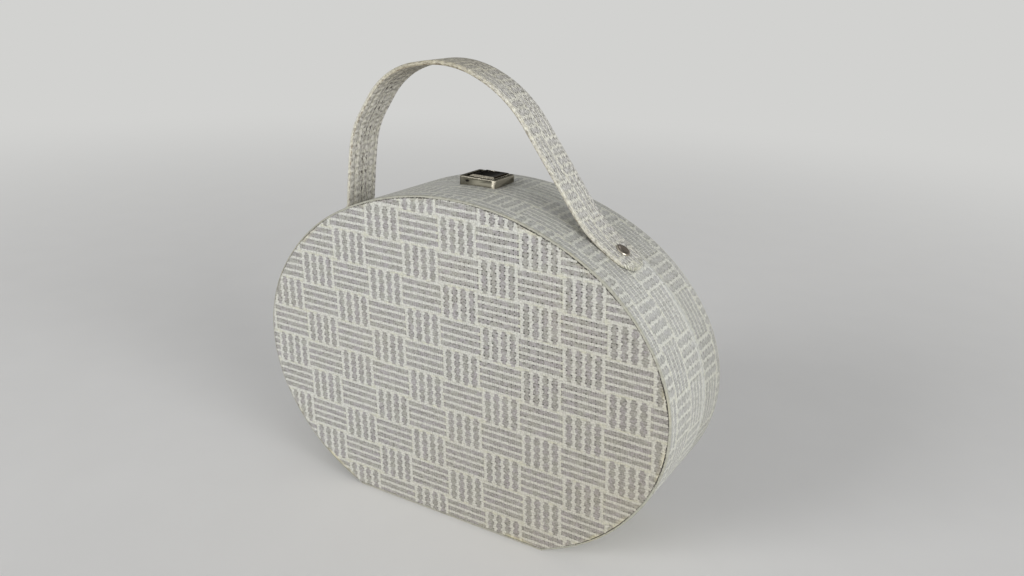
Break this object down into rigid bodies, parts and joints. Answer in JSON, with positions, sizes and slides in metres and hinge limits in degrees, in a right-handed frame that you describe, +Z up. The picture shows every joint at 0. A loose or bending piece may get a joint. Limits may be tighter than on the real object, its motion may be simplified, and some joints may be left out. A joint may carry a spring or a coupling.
{
  "type": "cardboard suitcase",
  "caption": "Oval cardboard case with a woven-pattern covering, a flat foot, a hinged lid side, a sprung slide lock on top and a riveted strap handle.",
  "frame": {"origin": "on the surface the case stands on, under the middle of its width and its depth", "axes": "+X along the oval face, +Y from the front panel to the lid, +Z up"},
  "size_m": [0.286, 0.081, 0.2803],
  "materials": {
    "woven_cover": "coated cloth embossed with a basket weave of cream lines and grey bars",
    "grey_board": "plain pressed board",
    "lining_paper": "matt",
    "nickel": "nickel plate, worn",
    "spring_steel": "plain"
  },
  "bodies": {
    "body": {"body_band_board": "grey_board", "body_band_cover": "woven_cover", "body_band_lining": "lining_paper", "body_collar": "lining_paper", "body_hinge_cloth": "woven_cover", "body_panel_board": "grey_board", "body_panel_cover": "woven_cover", "body_panel_lining": "lining_paper", "lock_backing_plate": "nickel", "lock_base": "nickel", "lock_case": "nickel", "lock_rivets": "nickel", "lock_spring": "spring_steel", "strap_core": "grey_board", "strap_cover": "woven_cover", "strap_rivets": "nickel", "strap_washers": "nickel"},
    "lid": {"keeper": "nickel", "keeper_backing_plate": "nickel", "keeper_rivets": "nickel", "lid_band_board": "grey_board", "lid_band_cover": "woven_cover", "lid_band_lining": "lining_paper", "lid_hinge_cloth": "woven_cover", "lid_panel_board": "grey_board", "lid_panel_cover": "woven_cover", "lid_panel_lining": "lining_paper"},
    "slide": {"lock_slide": "nickel"}
  },
  "joints": [
    {"name": "lid_hinge", "type": "hinge", "parent": "body", "child": "lid", "pos_m": [0, 0.0115, 0], "axis": [-1, 0, 0], "range_deg": [0, 175], "deforming": ["lock_spring"]},
    {"name": "lock_slide", "type": "slide", "parent": "body", "child": "slide", "axis": [-1, 0, 0], "range_m": [0, 0.004], "stiffness_N_per_m": 250, "springref_m": -0.002, "deforming": ["lock_spring"]}
  ]
}
